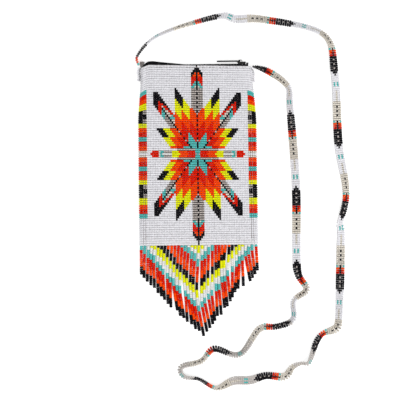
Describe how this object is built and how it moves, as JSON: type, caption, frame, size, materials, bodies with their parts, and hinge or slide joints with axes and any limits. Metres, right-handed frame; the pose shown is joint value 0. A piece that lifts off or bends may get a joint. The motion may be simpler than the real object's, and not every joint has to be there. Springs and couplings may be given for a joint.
{
  "type": "cell phone bag",
  "caption": "Flat beaded pouch with a zipped mouth, an eight-pointed star on its front, a bead fringe and a long beaded strap.",
  "frame": {"origin": "on the floor under the middle of the box round the pouch, its zip and its fringe, without the strap", "axes": "+X to the right across the front, +Y along the pouch from fringe to mouth, +Z out of the front; the bag lies on its back"},
  "size_m": [0.2134, 0.38, 0.0115],
  "materials": {
    "panel_beads": "opaque glass seed beads, mostly white with a coloured star",
    "strap_beads": "opaque and silver-lined glass seed beads",
    "fringe_beads": "opaque glass seed beads in bands of colour",
    "lining_cloth": "plain woven cloth",
    "zip_cloth": "black woven tape",
    "zip_plastic": "black moulded teeth",
    "zip_metal": "black enamel"
  },
  "bodies": {
    "pouch": {"front_panel": "panel_beads", "back_panel": "panel_beads", "side_band_left": "panel_beads", "side_band_right": "panel_beads", "strap": "strap_beads", "strap_end_left": "strap_beads", "strap_end_right": "strap_beads", "lining": "lining_cloth", "zip_tape_front": "zip_cloth", "zip_tape_back": "zip_cloth", "zip_teeth_front": "zip_plastic", "zip_teeth_back": "zip_plastic", "zip_bottom_stop": "zip_metal", "zip_top_stop_front": "zip_metal", "zip_top_stop_back": "zip_metal", "fringe_strand_01": "fringe_beads", "fringe_strand_02": "fringe_beads", "fringe_strand_03": "fringe_beads", "fringe_strand_04": "fringe_beads", "fringe_strand_05": "fringe_beads", "fringe_strand_06": "fringe_beads", "fringe_strand_07": "fringe_beads", "fringe_strand_08": "fringe_beads", "fringe_strand_09": "fringe_beads", "fringe_strand_10": "fringe_beads", "fringe_strand_11": "fringe_beads", "fringe_strand_12": "fringe_beads", "fringe_strand_13": "fringe_beads", "fringe_strand_14": "fringe_beads", "fringe_strand_15": "fringe_beads", "fringe_strand_16": "fringe_beads", "fringe_strand_17": "fringe_beads", "fringe_strand_18": "fringe_beads", "fringe_strand_19": "fringe_beads", "fringe_strand_20": "fringe_beads", "fringe_strand_21": "fringe_beads", "fringe_strand_22": "fringe_beads", "fringe_strand_23": "fringe_beads", "fringe_strand_24": "fringe_beads", "fringe_strand_25": "fringe_beads", "fringe_strand_26": "fringe_beads", "fringe_strand_27": "fringe_beads", "fringe_strand_28": "fringe_beads", "fringe_strand_29": "fringe_beads", "fringe_strand_30": "fringe_beads", "fringe_strand_31": "fringe_beads", "fringe_strand_32": "fringe_beads", "fringe_strand_33": "fringe_beads", "fringe_strand_34": "fringe_beads", "fringe_strand_35": "fringe_beads"},
    "slider": {"zip_slider": "zip_metal"},
    "pull": {"zip_pull": "zip_metal"}
  },
  "joints": [
    {"name": "slider_slide", "type": "slide", "parent": "pouch", "child": "slider", "axis": [1, 0, 0], "range_m": [-0.077, 0], "deforming": ["zip_teeth_front", "zip_teeth_back"]},
    {"name": "pull_hinge", "type": "hinge", "parent": "slider", "child": "pull", "pos_m": [0.0434, 0.1369, 0.00575], "axis": [0, 0, -1], "range_deg": [0, 170]}
  ]
}
